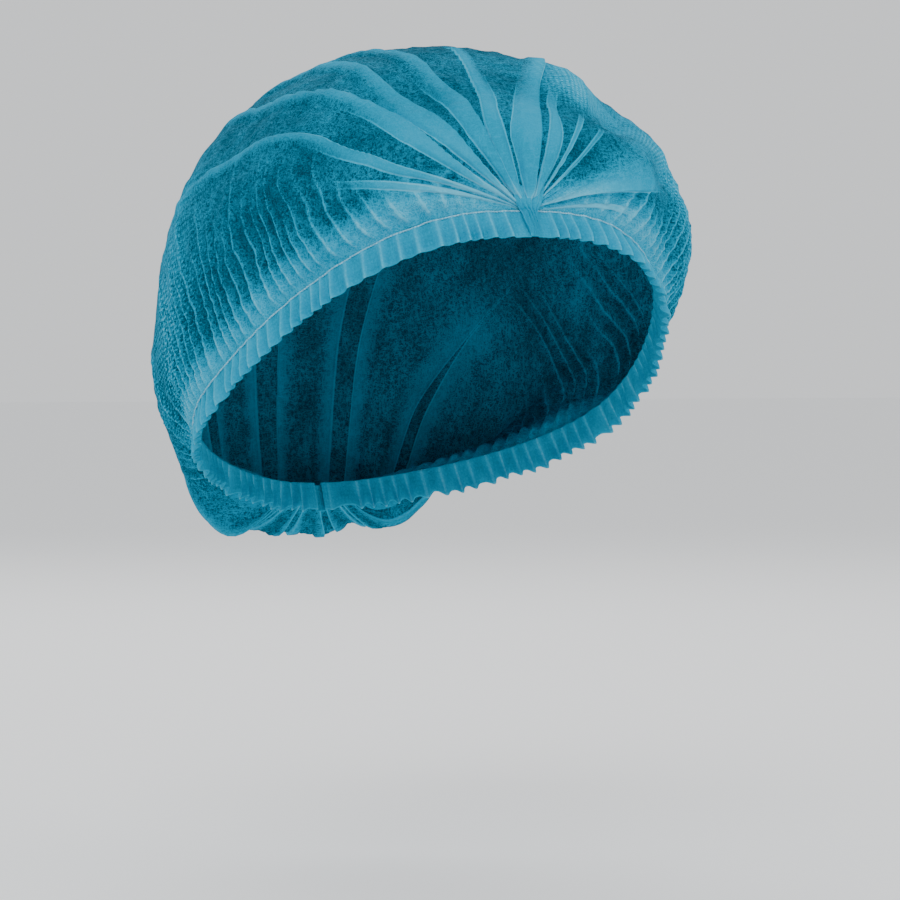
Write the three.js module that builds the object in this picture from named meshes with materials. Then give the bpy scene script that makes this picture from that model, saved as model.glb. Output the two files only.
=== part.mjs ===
// A disposable hair cap of thin pleated non-woven cloth, as it stands when worn.
// Millimetres, +Z up, the wearer faces -Y, and the wearer's right side is -X.
// The crown is one strip of cloth. Its pleats run from a weld at the forehead to a weld at the nape,
// and each long side of the strip ends in a ruffled hem that an elastic strand draws in.
// The origin is the middle of the head opening, halfway between the two welds.
import * as THREE from "three";

// The head opening, along the elastic
const openingLength = 180; // between the two welds, along Y
const openingWidth = 168; // across, at the ears
const openingRise = 100; // the front weld above the rear one
const openingFullness = 0.78; // power of the sine: under 1 is squarer than an ellipse
const napeNarrowing = 0.5; // share by which the rear end is narrower than the front one
const earDip = 13; // the elastic at the ears below the straight line between the welds

// The crown's reach from the origin
const crownFront = 94;
const crownBack = 124;
const crownTop = 114;
const crownDrop = 70;
const crownRight = 88;
const crownLeft = 98;
const napeSag = 22; // how far the loose cloth behind the ears hangs down

// Cloth, hem and elastic
const clothWall = 1.5;
const hemWall = 1.4; // two layers, folded round the elastic
const hemDepth = 11;
const hemLean = 6; // degrees that the hem flares away from the head
const ruffleHeight = 1.6;
const ruffleCount = 48; // in each hem
const scallopDepth = 1;
const elasticDiameter = 1.6;
const clearance = 0.3;

// Pleats, gathers and swells of the crown
const pleatHeight = 3.4;
const gatherHeight = 2.2;
const gatherCount = 24; // along each side of the crown
const puffHeight = 9;

// The welded bundle at each end of the pleats
const weldThickness = 3.2;
const weldHeight = 9; // above the elastic
const weldTopWidth = 13;
const weldTipWidth = 4.6;
const weldPleats = 5;
const weldGroove = 1.1; // between two of its pleats

// The crown's sections from the front weld to the rear one, at a turn of 0 to 180 degrees.
// topY is a share of crownFront where negative, else of crownBack; topZ is one of crownTop, or of
// crownDrop where negative. right and left are the widest half widths as shares of crownRight and
// crownLeft, widestAt is how far up the section they lie, and sag is a share of napeSag.
const sections = [
  { turn: 22, topY: -0.96, topZ: 0.68, right: 0.52, left: 0.44, widestAt: 0.46, sag: 0 },
  { turn: 45, topY: -0.74, topZ: 0.81, right: 0.79, left: 0.7, widestAt: 0.42, sag: 0 },
  { turn: 67, topY: -0.38, topZ: 0.96, right: 0.91, left: 0.93, widestAt: 0.38, sag: 0 },
  { turn: 90, topY: 0.02, topZ: 0.98, right: 0.96, left: 1.07, widestAt: 0.34, sag: 0.05 },
  { turn: 112, topY: 0.45, topZ: 0.905, right: 0.94, left: 0.97, widestAt: 0.34, sag: 0.25 },
  { turn: 135, topY: 0.8, topZ: 0.59, right: 0.79, left: 0.83, widestAt: 0.38, sag: 0.6 },
  { turn: 155, topY: 0.97, topZ: 0.1, right: 0.58, left: 0.6, widestAt: 0.42, sag: 0.9 },
  { turn: 170, topY: 0.93, topZ: -0.97, right: 0.37, left: 0.37, widestAt: 0.5, sag: 0.35 },
];

// The main pleats. Their places are in degrees round the crown, from 0 at the right hem over the
// top to 180 at the left hem: beside the front weld, at the middle and beside the rear weld.
// width is in the same degrees, height is a share of pleatHeight, and fades is the share of the way
// to the rear weld where the front pleat dies out.
const pleats = [
  { front: 13, middle: 22, rear: 18, width: 9, height: 0.7, fades: 0.42 },
  { front: 27, middle: 38, rear: 33, width: 10, height: 0.9, fades: 0.5 },
  { front: 42, middle: 51, rear: 48, width: 10, height: 1.0, fades: 0.6 },
  { front: 56, middle: 62, rear: 61, width: 9, height: 1.0, fades: 0.62 },
  { front: 69, middle: 75, rear: 74, width: 8, height: 0.9, fades: 0.62 },
  { front: 79, middle: 90, rear: 88, width: 7, height: 0.9, fades: 0.42 },
  { front: 90, middle: 104, rear: 101, width: 9, height: 1.2, fades: 0.42 },
  { front: 103, middle: 115, rear: 113, width: 7, height: 0.8, fades: 0.36 },
  { front: 119, middle: 127, rear: 127, width: 8, height: 0.6, fades: 0.38 },
  { front: 139, middle: 142, rear: 143, width: 11, height: 1.0, fades: 0.44 },
  { front: 161, middle: 158, rear: 162, width: 9, height: 0.7, fades: 0.38 },
];

// Broad swells and dents: their place and reach as shares of the way back and of the way round,
// and their height as a share of puffHeight.
const puffs = [
  { back: 0.32, round: 0.59, reachBack: 0.07, reachRound: 0.035, height: 0.4 },
  { back: 0.3, round: 0.655, reachBack: 0.08, reachRound: 0.035, height: -0.65 },
  { back: 0.29, round: 0.78, reachBack: 0.07, reachRound: 0.04, height: -0.55 },
  { back: 0.36, round: 0.84, reachBack: 0.12, reachRound: 0.08, height: 0.35 },
  { back: 0.58, round: 0.3, reachBack: 0.09, reachRound: 0.12, height: 0.2 },
  { back: 0.64, round: 0.19, reachBack: 0.04, reachRound: 0.12, height: -0.25 },
  { back: 0.76, round: 0.22, reachBack: 0.08, reachRound: 0.16, height: 0.15 },
];

const radians = THREE.MathUtils.degToRad;
const smooth = THREE.MathUtils.smoothstep;
const halfTurn = 180; // degrees from one weld to the other, and from one hem to the other
const rightSide = -1;
const leftSide = 1;
const edgeLift = elasticDiameter / 2 + clearance; // each cloth's edge stays this far from the elastic

// A smooth value at x through the points of a table, which are in order of x.
function between(points, x) {
  let i = 0;
  while (i < points.length - 2 && x > points[i + 1].x) i += 1;
  const slopeAt = (k) => {
    const a = points[Math.max(0, k - 1)];
    const b = points[Math.min(points.length - 1, k + 1)];
    return (b.y - a.y) / (b.x - a.x);
  };
  const span = points[i + 1].x - points[i].x;
  const u = (x - points[i].x) / span;
  return (
    points[i].y * (2 * u ** 3 - 3 * u ** 2 + 1) +
    slopeAt(i) * span * (u ** 3 - 2 * u ** 2 + u) +
    points[i + 1].y * (3 * u ** 2 - 2 * u ** 3) +
    slopeAt(i + 1) * span * (u ** 3 - u ** 2)
  );
}

// The elastic's line, at a turn of 0 at the front weld to 180 at the rear one.
function elasticPoint(turn, side) {
  const along = -Math.cos(radians(turn));
  const nape = 1 - napeNarrowing * Math.max(0, along) ** 2;
  const across = nape * Math.pow(Math.max(0, Math.sin(radians(turn))), openingFullness);
  return new THREE.Vector3(
    (side * across * openingWidth) / 2,
    (along * openingLength) / 2,
    (-along * openingRise) / 2 - earDip * (1 - along * along),
  );
}

// The ways in which the hem hangs from the elastic: down along the cloth, and out from its face.
function hemWays(turn, side) {
  const step = 0.4;
  const later = elasticPoint(Math.min(halfTurn, turn + step), side);
  const along = later.sub(elasticPoint(Math.max(0, turn - step), side)).normalize();
  const ringDown = new THREE.Vector3(0, -openingRise, -openingLength).normalize();
  const ringOut = ringDown.clone().cross(along).multiplyScalar(side).normalize();
  const lean = radians(hemLean);
  const down = ringDown.clone().multiplyScalar(Math.cos(lean)).addScaledVector(ringOut, Math.sin(lean));
  const out = ringOut.multiplyScalar(Math.cos(lean)).addScaledVector(ringDown, -Math.sin(lean));
  return { down, out };
}

// One column of the section table as a smooth line of the turn, with its values at the two welds.
function sectionLine(value, atFront, atRear) {
  const inner = sections.map((row) => ({ x: row.turn, y: value(row) }));
  const points = [{ x: 0, y: atFront }, ...inner, { x: halfTurn, y: atRear }];
  return (turn) => between(points, turn);
}

const topY = sectionLine(
  (row) => row.topY * (row.topY < 0 ? crownFront : crownBack),
  -openingLength / 2,
  openingLength / 2,
);
const topZ = sectionLine(
  (row) => row.topZ * (row.topZ < 0 ? crownDrop : crownTop),
  openingRise / 2,
  -openingRise / 2,
);
const widestAt = sectionLine((row) => row.widestAt, sections[0].widestAt, sections.at(-1).widestAt);
const sagAt = sectionLine((row) => row.sag * napeSag, 0, 0);
const widest = {
  [rightSide]: sectionLine((row) => row.right * crownRight, 0, 0),
  [leftSide]: sectionLine((row) => row.left * crownLeft, 0, 0),
};

// The crown without its pleats. round is 0 at the right hem, a half at the top, 1 at the left hem.
const lowerShare = 0.34; // of the way from a hem to the top that lies below the widest place
const hemFlare = 1.1; // how strongly the cloth leaves the elastic outwards
const hemStand = 0.5; // and upwards
const sagEnd = 0.7; // share of the way to the top that sags
const edgeReach = 5; // millimetres from the elastic within which the cloth is held
const looseReach = 18; // and beyond which it is free to sag

function plainCrown(turn, round) {
  const side = round < 0.5 ? rightSide : leftSide;
  const up = 1 - Math.abs(2 * round - 1);
  const hem = elasticPoint(turn, side);
  const rise = new THREE.Vector3(0, topY(turn) - hem.y, topZ(turn) - hem.z);
  const height = rise.length();
  rise.normalize();
  const hemWidth = Math.abs(hem.x);
  const fullWidth = widest[side](turn);
  const fullHeight = widestAt(turn) * height;
  const upperRate = ((height - fullHeight) * Math.PI) / 2 / (1 - lowerShare);
  let width, stand;
  if (up < lowerShare) {
    const u = up / lowerShare;
    const start = 2 * u ** 3 - 3 * u ** 2 + 1;
    const startSlope = u ** 3 - 2 * u ** 2 + u;
    const end = 3 * u ** 2 - 2 * u ** 3;
    const endSlope = u ** 3 - u ** 2;
    width = start * hemWidth + startSlope * hemFlare * (fullWidth - hemWidth) + end * fullWidth;
    stand = startSlope * hemStand * fullHeight + end * fullHeight + endSlope * upperRate * lowerShare;
  } else {
    const angle = ((up - lowerShare) / (1 - lowerShare)) * (Math.PI / 2);
    width = fullWidth * Math.cos(angle);
    stand = fullHeight + (height - fullHeight) * Math.sin(angle);
  }
  const point = new THREE.Vector3(side * width, hem.y + rise.y * stand, hem.z + rise.z * stand);
  const loose = smooth(point.distanceTo(hem), edgeReach, looseReach);
  point.z -= loose * Math.sin(Math.PI * Math.min(1, up / sagEnd)) ** 2 * sagAt(turn);
  return point;
}

function plainNormal(turn, round) {
  const step = 0.5;
  const share = 0.004;
  const alongCrown = plainCrown(Math.min(halfTurn, turn + step), round).sub(
    plainCrown(Math.max(0, turn - step), round),
  );
  const roundCrown = plainCrown(turn, Math.min(1, round + share)).sub(
    plainCrown(turn, Math.max(0, round - share)),
  );
  return roundCrown.cross(alongCrown).normalize();
}

// The plain crown's point and outward way, with its edges lifted clear of the elastic and turned
// to lie in line with the hems.
function crownPlace(turn, round) {
  const side = round < 0.5 ? rightSide : leftSide;
  const ways = hemWays(turn, side);
  const point = plainCrown(turn, round);
  const edge = 1 - smooth(point.distanceTo(elasticPoint(turn, side)), 0, edgeReach);
  point.addScaledVector(ways.down, -edge * edgeLift);
  const out = plainNormal(turn, round).lerp(ways.out, edge).normalize();
  return { point, out };
}

// The turn at which the crown's middle line is a given way up from one of the welds.
function turnBesideWeld(weldTurn, height) {
  const toward = weldTurn === 0 ? 1 : -1;
  const start = plainCrown(weldTurn, 0.5);
  let turn = weldTurn;
  while (plainCrown(turn, 0.5).distanceTo(start) < height) turn += toward * 0.1;
  return turn;
}

const frontWeldTurn = turnBesideWeld(0, weldHeight);
const rearWeldTurn = turnBesideWeld(halfTurn, weldHeight);

// Where a pleat lies at a turn, in degrees round the crown.
function pleatPlace(pleat, turn) {
  const points = [
    { x: 0, y: pleat.front },
    { x: halfTurn / 2, y: pleat.middle },
    { x: halfTurn, y: pleat.rear },
  ];
  return between(points, turn);
}

// How strong the pleats are at a turn: they rise beside the front weld, fade over the crown and
// rise again toward the rear weld.
const pleatRise = 12; // degrees of turn
const rearStart = 0.72; // share of the way back where the rear pleats begin
const rearFull = 0.93;
const rearStrength = 0.5;
function pleatStrength(pleat, turn) {
  const back = turn / halfTurn;
  const risen = smooth(turn, frontWeldTurn, frontWeldTurn + pleatRise);
  const front = risen * (1 - smooth(back, pleat.fades * 0.4, pleat.fades));
  const sunk = smooth(turn, rearWeldTurn - pleatRise, rearWeldTurn);
  const rear = smooth(back, rearStart, rearFull) * (1 - sunk);
  return front + rearStrength * rear;
}

// The crown's outward offset from its plain form. The gathers stand above the elastic, clear of the
// two welds.
const gatherPeak = 0.16; // share of the way from the elastic to the top where they are fullest
const gatherEnd = 0.34; // and where they die out
const gatherFrom = 0.04; // share of the way back where they begin
const gatherFull = 0.12; // and reach their full height
const heldShare = 0.05; // share of the way to the top within which the elastic holds the cloth
function crownRelief(turn, degrees, gatherPhase) {
  let relief = 0;
  for (const pleat of pleats) {
    const away = Math.abs(degrees - pleatPlace(pleat, turn)) / (pleat.width / 2);
    relief += pleat.height * pleatHeight * pleatStrength(pleat, turn) * (1 - smooth(away, 0, 1));
  }
  const round = degrees / halfTurn;
  const back = turn / halfTurn;
  for (const puff of puffs) {
    const far = ((back - puff.back) / puff.reachBack) ** 2 + ((round - puff.round) / puff.reachRound) ** 2;
    relief += puff.height * puffHeight * Math.exp(-far);
  }
  const up = 1 - Math.abs(2 * round - 1);
  const upward = smooth(up, 0, gatherPeak) * (1 - smooth(up, gatherPeak, gatherEnd));
  const fromWeld = smooth(Math.min(back, 1 - back), gatherFrom, gatherFull);
  relief += gatherHeight * gatherPhase * upward * fromWeld;
  return relief * smooth(up, 0, heldShare);
}

// A closed wall between two grids of points that have as many rows and columns.
function wallBetween(outer, inner) {
  const rows = outer.length;
  const columns = outer[0].length;
  const corner = (layer, row, column) => (layer * rows + row) * columns + column;
  const positions = [...outer.flat(), ...inner.flat()].flatMap((point) => point.toArray());
  const faces = [];
  const quad = (a, b, c, d) => faces.push(a, b, c, a, c, d);
  for (let r = 0; r < rows - 1; r += 1) {
    for (let c = 0; c < columns - 1; c += 1) {
      quad(corner(0, r, c), corner(0, r, c + 1), corner(0, r + 1, c + 1), corner(0, r + 1, c));
      quad(corner(1, r, c), corner(1, r + 1, c), corner(1, r + 1, c + 1), corner(1, r, c + 1));
    }
  }
  for (let r = 0; r < rows - 1; r += 1) {
    const last = columns - 1;
    quad(corner(0, r, 0), corner(0, r + 1, 0), corner(1, r + 1, 0), corner(1, r, 0));
    quad(corner(0, r, last), corner(1, r, last), corner(1, r + 1, last), corner(0, r + 1, last));
  }
  for (let c = 0; c < columns - 1; c += 1) {
    const last = rows - 1;
    quad(corner(0, 0, c), corner(1, 0, c), corner(1, 0, c + 1), corner(0, 0, c + 1));
    quad(corner(0, last, c), corner(0, last, c + 1), corner(1, last, c + 1), corner(1, last, c));
  }
  const geometry = new THREE.BufferGeometry();
  geometry.setAttribute("position", new THREE.Float32BufferAttribute(positions, 3));
  geometry.setIndex(faces);
  geometry.computeVertexNormals();
  return geometry;
}

// Turns at equal steps along the elastic of one side, from a first turn to as far from the rear.
function turnsAlongElastic(first, steps) {
  const samples = 720;
  const turns = [];
  const lengths = [0];
  for (let i = 0; i <= samples; i += 1) {
    turns.push(first + ((halfTurn - 2 * first) * i) / samples);
    if (i === 0) continue;
    const step = elasticPoint(turns[i], leftSide).distanceTo(elasticPoint(turns[i - 1], leftSide));
    lengths.push(lengths[i - 1] + step);
  }
  const evenly = [];
  let i = 1;
  for (let k = 0; k <= steps; k += 1) {
    const wanted = (lengths[samples] * k) / steps;
    while (i < samples && lengths[i] < wanted) i += 1;
    const share = (wanted - lengths[i - 1]) / (lengths[i] - lengths[i - 1]);
    evenly.push(turns[i - 1] + share * (turns[i] - turns[i - 1]));
  }
  return evenly;
}

const clothColour = 0x3f9bb5;
const hemColour = 0x57a8be;
const elasticColour = 0x9fcfdb;

function pieceMesh(name, geometry, colour, roughness) {
  const material = new THREE.MeshStandardMaterial({
    color: colour,
    roughness,
    metalness: 0,
    side: THREE.DoubleSide,
  });
  const mesh = new THREE.Mesh(geometry, material);
  mesh.name = name;
  return mesh;
}

// Degrees round the crown of its mesh's columns: each pleat has two feet and a fold between them,
// and the stretches beside the hems have columns for the gathers.
function crownColumns(turn) {
  const firstFoot = pleatPlace(pleats[0], turn) - pleats[0].width / 2;
  const lastFoot = pleatPlace(pleats.at(-1), turn) + pleats.at(-1).width / 2;
  const columns = [0, 0.3, 0.65].map((share) => share * firstFoot);
  for (const pleat of pleats) {
    const place = pleatPlace(pleat, turn);
    columns.push(place - pleat.width / 2, place, place + pleat.width / 2);
  }
  for (const share of [0.35, 0.7, 1]) columns.push(lastFoot + share * (halfTurn - lastFoot));
  return columns;
}

const crownStart = 2.6; // degrees of turn, under the weld
function crown() {
  const outer = [];
  const inner = [];
  turnsAlongElastic(crownStart, 2 * gatherCount).forEach((turn, row) => {
    const gatherPhase = row % 2 === 0 ? -1 : 1;
    const middle = crownColumns(turn).map((degrees) => {
      const place = crownPlace(turn, degrees / halfTurn);
      place.point.addScaledVector(place.out, crownRelief(turn, degrees, gatherPhase));
      return place;
    });
    outer.push(middle.map(({ point, out }) => point.clone().addScaledVector(out, clothWall / 2)));
    inner.push(middle.map(({ point, out }) => point.clone().addScaledVector(out, -clothWall / 2)));
  });
  return pieceMesh("crown", wallBetween(outer, inner), clothColour, 0.85);
}

// A hem's ruffles are flat where the elastic draws them in and widest at the lower edge.
const hemStart = 1.3; // degrees of turn, beside the weld
const hemRows = [0, 0.5, 1]; // shares of the way from the elastic to the lower edge
function hem(name, side) {
  const front = [];
  const back = [];
  turnsAlongElastic(hemStart, 2 * ruffleCount).forEach((turn, station) => {
    const phase = station % 2 === 0 ? -1 : 1;
    const elastic = elasticPoint(turn, side);
    const ways = hemWays(turn, side);
    const line = hemRows.map((share) => {
      const depth = edgeLift + share * (hemDepth - edgeLift) + share * scallopDepth * phase;
      const wave = phase * ruffleHeight * share;
      return elastic.clone().addScaledVector(ways.down, depth).addScaledVector(ways.out, wave);
    });
    front.push(line.map((point) => point.clone().addScaledVector(ways.out, hemWall / 2)));
    back.push(line.map((point) => point.clone().addScaledVector(ways.out, -hemWall / 2)));
  });
  const geometry = side === leftSide ? wallBetween(front, back) : wallBetween(back, front);
  return pieceMesh(name, geometry, hemColour, 0.85);
}

// The strand's own line, which starts and ends behind the welds.
const strandStart = 0.7; // degrees of turn
const strandSteps = 48;
const strandSides = 6;
class StrandLine extends THREE.Curve {
  constructor(side) {
    super();
    this.side = side;
    this.turns = turnsAlongElastic(strandStart, strandSteps);
  }

  getPoint(t) {
    const place = t * strandSteps;
    const k = Math.min(strandSteps - 1, Math.floor(place));
    const turn = this.turns[k] + (place - k) * (this.turns[k + 1] - this.turns[k]);
    return elasticPoint(turn, this.side);
  }
}

function elastic(name, side) {
  const section = new THREE.Shape();
  for (let k = 0; k < strandSides; k += 1) {
    const angle = (k / strandSides) * 2 * Math.PI;
    const x = (elasticDiameter / 2) * Math.cos(angle);
    const y = (elasticDiameter / 2) * Math.sin(angle);
    if (k === 0) section.moveTo(x, y);
    else section.lineTo(x, y);
  }
  const geometry = new THREE.ExtrudeGeometry(section, {
    steps: strandSteps,
    extrudePath: new StrandLine(side),
  });
  return pieceMesh(name, geometry, elasticColour, 0.6);
}

// A weld's middle line, from its tip at the hem's lower edge past the elastic and up the crown. It
// lies in the plane x = 0 and has an outward way at each of its points.
const weldRows = [-1, -0.5, 0, 0.5, 1];
function weldLine(weldTurn) {
  const ways = hemWays(weldTurn, leftSide);
  const elastic = elasticPoint(weldTurn, leftSide);
  const points = weldRows.map((row) => {
    if (row <= 0) return elastic.clone().addScaledVector(ways.down, -row * hemDepth);
    return plainCrown(turnBesideWeld(weldTurn, row * weldHeight), 0.5);
  });
  return points.map((point, k) => {
    const before = points[Math.max(0, k - 1)];
    const after = points[Math.min(points.length - 1, k + 1)];
    const first = point.clone().sub(before).normalize();
    const second = after.clone().sub(point).normalize();
    const up = first.clone().add(second).normalize();
    const out = new THREE.Vector3(0, -up.z, up.y).multiplyScalar(weldTurn === 0 ? 1 : -1);
    const straight = first.lengthSq() === 0 || second.lengthSq() === 0 ? 1 : first.dot(second);
    const reach = Math.sqrt(2 / (1 + straight)); // so that a bend keeps its distance on both sides
    return { point, out, reach };
  });
}

const weldSeat = Math.max(clothWall, hemWall, elasticDiameter) / 2 + clearance;
function weld(name, weldTurn) {
  const front = [];
  const back = [];
  weldLine(weldTurn).forEach(({ point, out, reach }, k) => {
    const share = (weldRows[k] + 1) / 2;
    const halfWidth = (weldTipWidth + share * (weldTopWidth - weldTipWidth)) / 2;
    const frontRow = [];
    const backRow = [];
    for (let c = 0; c <= 2 * weldPleats; c += 1) {
      const across = new THREE.Vector3((c / weldPleats - 1) * halfWidth, 0, 0);
      const groove = c % 2 === 0 ? weldGroove : 0;
      const seat = point.clone().addScaledVector(out, weldSeat * reach).add(across);
      backRow.push(seat);
      frontRow.push(seat.clone().addScaledVector(out, weldThickness - groove));
    }
    front.push(frontRow);
    back.push(backRow);
  });
  const geometry = weldTurn === 0 ? wallBetween(front, back) : wallBetween(back, front);
  return pieceMesh(name, geometry, hemColour, 0.8);
}

export default new THREE.Group().add(
  crown(),
  hem("hem_right", rightSide),
  hem("hem_left", leftSide),
  elastic("elastic_right", rightSide),
  elastic("elastic_left", leftSide),
  weld("front_weld", 0),
  weld("rear_weld", halfTurn),
);
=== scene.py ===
import math

import bmesh
import bpy
import numpy as np
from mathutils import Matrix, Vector


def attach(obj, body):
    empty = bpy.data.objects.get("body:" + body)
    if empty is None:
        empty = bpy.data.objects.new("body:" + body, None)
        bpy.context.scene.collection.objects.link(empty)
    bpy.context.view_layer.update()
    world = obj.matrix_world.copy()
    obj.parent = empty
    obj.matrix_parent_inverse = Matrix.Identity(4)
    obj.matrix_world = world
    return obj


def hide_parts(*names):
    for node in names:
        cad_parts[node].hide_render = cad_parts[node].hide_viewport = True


# A disposable cap of thin pleated non-woven cloth, in the form that it takes when worn.
# Forms are worked out in millimetres, in the frame's own directions, and written in metres.
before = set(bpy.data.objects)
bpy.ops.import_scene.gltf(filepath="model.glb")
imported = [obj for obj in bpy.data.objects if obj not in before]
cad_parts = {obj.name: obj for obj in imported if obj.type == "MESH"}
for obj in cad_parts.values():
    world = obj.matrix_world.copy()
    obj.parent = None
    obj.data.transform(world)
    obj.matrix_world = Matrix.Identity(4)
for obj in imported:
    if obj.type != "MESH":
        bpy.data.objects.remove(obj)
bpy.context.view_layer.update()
mm = 0.001
halfTurn = 180.0  # degrees from the front weld to the rear one, and from the right hem to the left
print("frame loaded")


# Small sums shared by all the pieces

def smooth(x, low, high):
    t = np.clip((x - low) / (high - low), 0.0, 1.0)
    return t * t * (3 - 2 * t)


def unit(v):
    return v / np.maximum(np.linalg.norm(v, axis=-1, keepdims=True), 1e-12)


def lineThrough(rows, x):
    # a smooth line through (x, y) rows, with the same slopes as the frame's own tables
    xs, ys = (np.array(column, float) for column in zip(*rows))
    before = np.maximum(np.arange(len(xs)) - 1, 0)
    after = np.minimum(np.arange(len(xs)) + 1, len(xs) - 1)
    slopes = (ys[after] - ys[before]) / (xs[after] - xs[before])
    x = np.asarray(x, float)
    i = np.clip(np.searchsorted(xs, x, side="left") - 1, 0, len(xs) - 2)
    span = xs[i + 1] - xs[i]
    u = (x - xs[i]) / span
    return (ys[i] * (2 * u**3 - 3 * u**2 + 1) + slopes[i] * span * (u**3 - 2 * u**2 + u)
            + ys[i + 1] * (3 * u**2 - 2 * u**3) + slopes[i + 1] * span * (u**3 - u**2))


def softNoise(x, y, seed, waves=14):
    # gentle hills from -1 to 1, about one across each unit of x and y
    draw = np.random.default_rng(seed)
    total = np.zeros(np.broadcast(x, y).shape)
    for _ in range(waves):
        angle, pace, start = draw.random(3) * (2 * math.pi, 1.0, 2 * math.pi)
        pace = (0.5 + pace) * math.pi
        total += np.sin(pace * (x * math.cos(angle) + y * math.sin(angle)) + start)
    return np.clip(total / math.sqrt(waves / 2) / 1.8, -1, 1)


# The opening below and the form of the crown, as in the frame

opening = {
    "length": 180.0,  # between the welds
    "width": 168.0,  # halfway back
    "rise": 100.0,  # of the front weld above the rear one
    "fullness": 0.78,  # below 1 it is fuller than an ellipse
    "rearNarrowing": 0.5,  # share by which the rear end is narrower
    "sideDip": 13.0,  # of the sides below the straight line between the welds
}

crownForm = {
    "front": 94.0, "back": 124.0, "top": 114.0, "drop": 70.0,  # reach from the origin
    "right": 88.0, "left": 98.0, "rearSag": 22.0,
    "lowerShare": 0.34, "hemFlare": 1.1, "hemStand": 0.5, "sagEnd": 0.7,
    "edgeReach": 5.0, "looseReach": 18.0,
    # turn, then shares of the reaches: topY, topZ, right, left, then widestAt and sag
    "sections": [
        (22, -0.96, 0.68, 0.52, 0.44, 0.46, 0),
        (45, -0.74, 0.81, 0.79, 0.7, 0.42, 0),
        (67, -0.38, 0.96, 0.91, 0.93, 0.38, 0),
        (90, 0.02, 0.98, 0.96, 1.07, 0.34, 0.05),
        (112, 0.45, 0.905, 0.94, 0.97, 0.34, 0.25),
        (135, 0.8, 0.59, 0.79, 0.83, 0.38, 0.6),
        (155, 0.97, 0.1, 0.58, 0.6, 0.42, 0.9),
        (170, 0.93, -0.97, 0.37, 0.37, 0.5, 0.35),
    ],
    # back, round, reachBack, reachRound, height in millimetres
    "puffs": [
        (0.32, 0.59, 0.07, 0.035, 3.6),
        (0.3, 0.655, 0.08, 0.035, -5.8),
        (0.29, 0.78, 0.07, 0.04, -5.0),
        (0.36, 0.84, 0.12, 0.08, 3.2),
        (0.58, 0.3, 0.09, 0.12, 1.8),
        (0.64, 0.19, 0.04, 0.12, -2.2),
        (0.76, 0.22, 0.08, 0.16, 1.4),
    ],
}


def elasticLine(turn, side):
    along = -np.cos(np.radians(turn))
    narrowing = 1 - opening["rearNarrowing"] * np.maximum(0, along)**2
    across = narrowing * np.maximum(0, np.sin(np.radians(turn)))**opening["fullness"]
    return np.stack([side * across * opening["width"] / 2,
                     along * opening["length"] / 2 + 0 * across,
                     -along * opening["rise"] / 2 - opening["sideDip"] * (1 - along**2)], -1)


def hemWays(turn, side, lean=6.0, step=0.4):
    # down along the hanging hem, which flares by the lean in degrees, and out from its face
    along = unit(elasticLine(np.minimum(halfTurn, turn + step), side)
                 - elasticLine(np.maximum(0, turn - step), side))
    ringDown = unit(np.array([0.0, -opening["rise"], -opening["length"]]))
    ringOut = unit(np.cross(ringDown, along) * np.asarray(side)[..., None])
    c, s = math.cos(math.radians(lean)), math.sin(math.radians(lean))
    return ringDown * c + ringOut * s, ringOut * c - ringDown * s


def sectionLine(turn, column, atFront, atRear, scale):
    rows = [(row[0], scale(row[column])) for row in crownForm["sections"]]
    return lineThrough([(0, atFront), *rows, (halfTurn, atRear)], turn)


def plainCrown(turn, round):
    # the crown without its pleats: round is 0 at the right hem and 1 at the left one
    form = crownForm
    side = np.where(round < 0.5, -1.0, 1.0)
    up = 1 - np.abs(2 * round - 1)
    hem = elasticLine(turn, side)
    topY = sectionLine(turn, 1, -opening["length"] / 2, opening["length"] / 2,
                       lambda v: v * (form["front"] if v < 0 else form["back"]))
    topZ = sectionLine(turn, 2, opening["rise"] / 2, -opening["rise"] / 2,
                       lambda v: v * (form["drop"] if v < 0 else form["top"]))
    right = sectionLine(turn, 3, 0, 0, lambda v: v * form["right"])
    left = sectionLine(turn, 4, 0, 0, lambda v: v * form["left"])
    firstRow, lastRow = form["sections"][0], form["sections"][-1]
    widestAt = sectionLine(turn, 5, firstRow[5], lastRow[5], lambda v: v)
    sag = sectionLine(turn, 6, 0, 0, lambda v: v * form["rearSag"])
    riseY, riseZ = topY - hem[..., 1], topZ - hem[..., 2]
    height = np.hypot(riseY, riseZ) + 1e-9
    riseY, riseZ = riseY / height, riseZ / height
    hemWidth, fullWidth = np.abs(hem[..., 0]), np.where(side < 0, right, left)
    fullHeight = widestAt * height
    low = form["lowerShare"]
    upperRate = (height - fullHeight) * math.pi / 2 / (1 - low)
    u = np.minimum(up / low, 1)
    start, startSlope = 2 * u**3 - 3 * u**2 + 1, u**3 - 2 * u**2 + u
    end, endSlope = 3 * u**2 - 2 * u**3, u**3 - u**2
    lowWidth = start * hemWidth + startSlope * form["hemFlare"] * (fullWidth - hemWidth) + end * fullWidth
    lowStand = startSlope * form["hemStand"] * fullHeight + end * fullHeight + endSlope * upperRate * low
    angle = np.maximum(0, (up - low) / (1 - low)) * math.pi / 2
    width = np.where(up < low, lowWidth, fullWidth * np.cos(angle))
    stand = np.where(up < low, lowStand, fullHeight + (height - fullHeight) * np.sin(angle))
    point = np.stack([side * width, hem[..., 1] + riseY * stand, hem[..., 2] + riseZ * stand], -1)
    loose = smooth(np.linalg.norm(point - hem, axis=-1), form["edgeReach"], form["looseReach"])
    hang = np.sin(math.pi * np.minimum(1, up / form["sagEnd"]))**2
    point[..., 2] -= loose * hang * sag
    return point


def stepAcross(turn, round, step=0.004):
    # a small step across the pleats toward the left hem, and its size in degrees round
    low, high = np.maximum(0, round - step), np.minimum(1, round + step)
    return plainCrown(turn, high) - plainCrown(turn, low), (high - low) * halfTurn


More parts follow.
